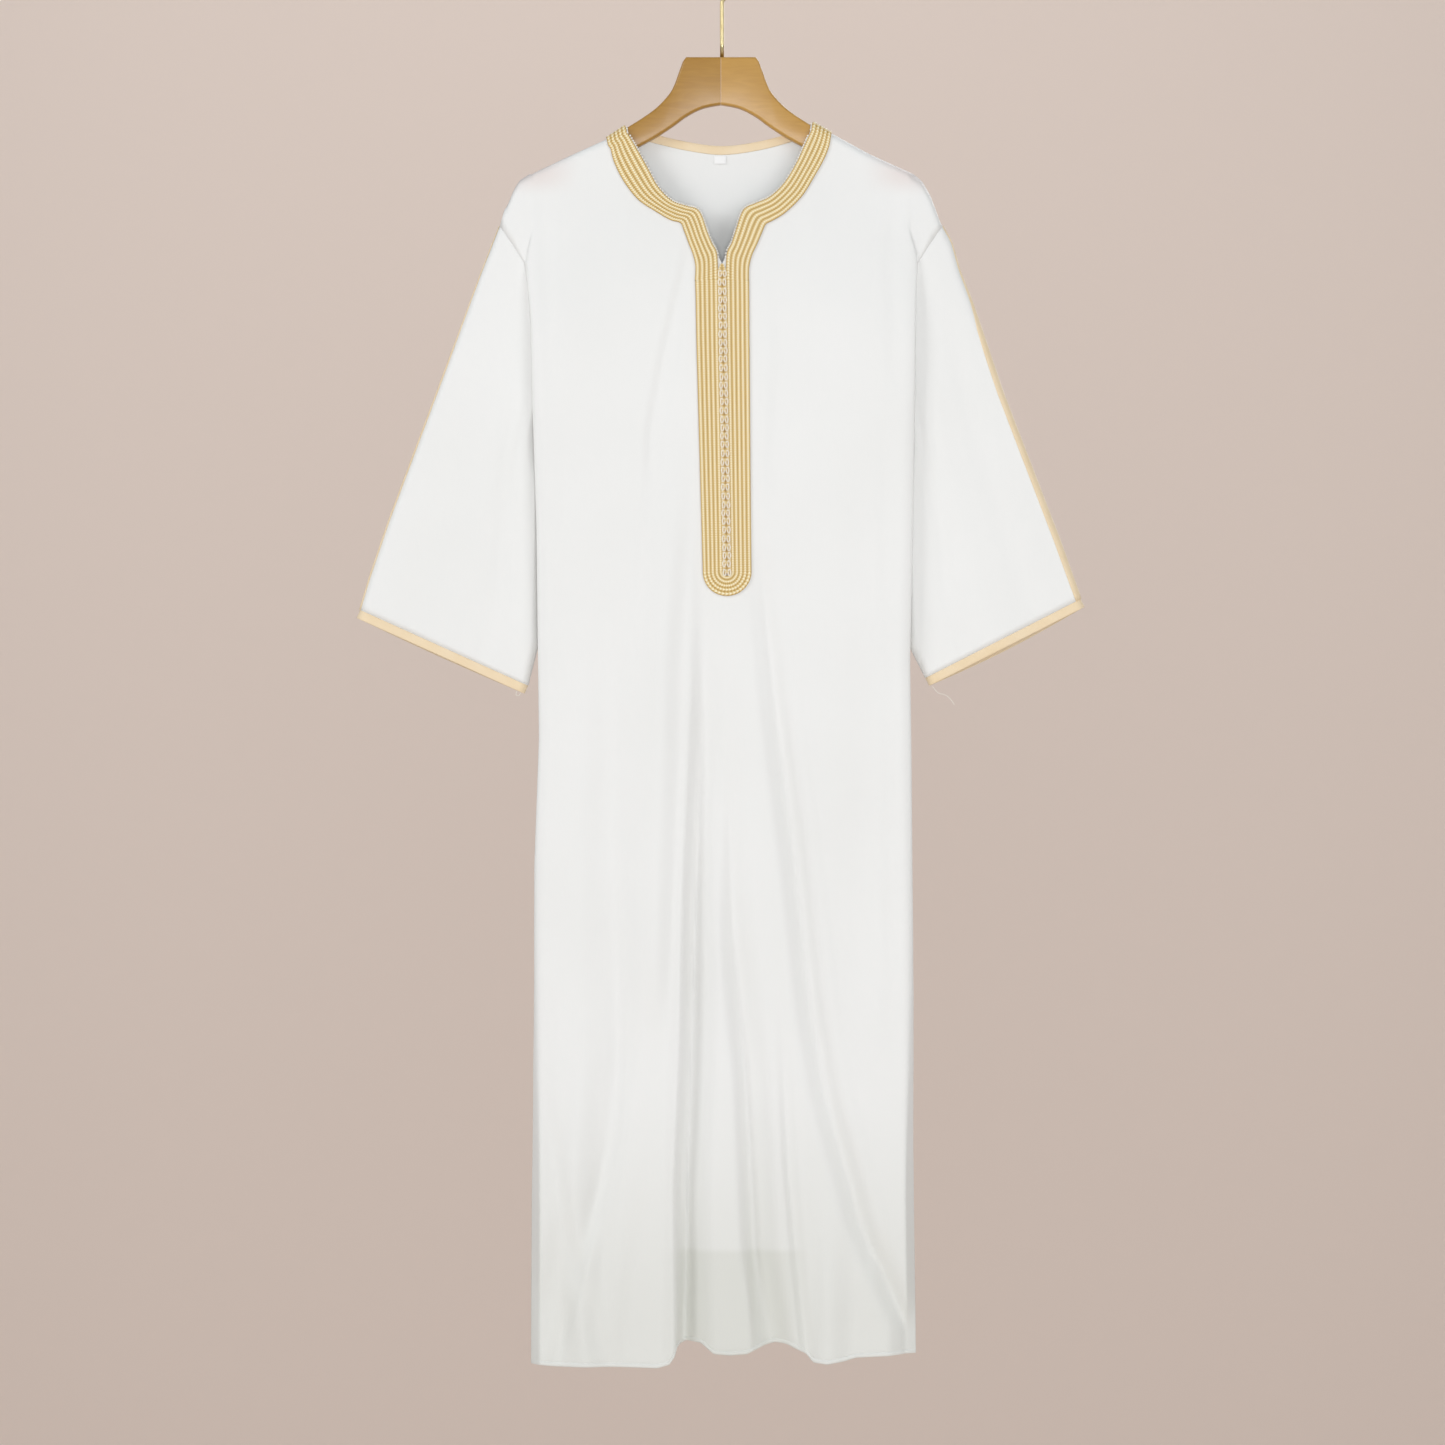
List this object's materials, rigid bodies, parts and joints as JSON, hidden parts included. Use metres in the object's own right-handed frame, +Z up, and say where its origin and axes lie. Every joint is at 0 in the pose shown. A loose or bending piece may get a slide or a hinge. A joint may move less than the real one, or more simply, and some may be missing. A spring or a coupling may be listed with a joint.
{
  "type": "thobe robe on a wooden hanger",
  "caption": "Ankle-length white thobe robe with half-length sleeves and gold braid at the neck, on a wooden hanger.",
  "frame": {"origin": "inside top of the hook's crook, where a rail carries the hanger", "axes": "+Z up, the robe's front faces -Y, +X is the viewer's right from the front"},
  "size_m": [0.8046, 0.0619, 1.5521],
  "materials": {
    "white_crepe": "matte satin",
    "cream_binding": "matte",
    "gold_braid": "satin thread",
    "pale_wood": "clear satin lacquer",
    "pale_brass": "polished"
  },
  "bodies": {
    "root": {"back": "white_crepe", "back_neck_binding": "cream_binding", "button_01": "gold_braid", "button_02": "gold_braid", "button_03": "gold_braid", "button_04": "gold_braid", "button_05": "gold_braid", "button_06": "gold_braid", "button_07": "gold_braid", "button_08": "gold_braid", "button_09": "gold_braid", "button_10": "gold_braid", "button_11": "gold_braid", "button_12": "gold_braid", "button_13": "gold_braid", "button_14": "gold_braid", "button_15": "gold_braid", "button_16": "gold_braid", "button_17": "gold_braid", "button_18": "gold_braid", "button_19": "gold_braid", "button_20": "gold_braid", "button_21": "gold_braid", "button_22": "gold_braid", "button_23": "gold_braid", "button_24": "gold_braid", "button_25": "gold_braid", "button_26": "gold_braid", "button_27": "gold_braid", "button_28": "gold_braid", "button_29": "gold_braid", "button_30": "gold_braid", "button_31": "gold_braid", "button_32": "gold_braid", "button_33": "gold_braid", "button_34": "gold_braid", "button_35": "gold_braid", "button_36": "gold_braid", "button_strip": "gold_braid", "cuff_left": "cream_binding", "cuff_right": "cream_binding", "front": "white_crepe", "hanger_left": "pale_wood", "hanger_right": "pale_wood", "hook": "pale_brass", "neck_braid": "gold_braid", "size_label": "white_crepe", "sleeve_left_back": "white_crepe", "sleeve_left_front": "white_crepe", "sleeve_right_back": "white_crepe", "sleeve_right_front": "white_crepe", "sleeve_tape_left": "cream_binding", "sleeve_tape_right": "cream_binding"}
  },
  "joints": []
}
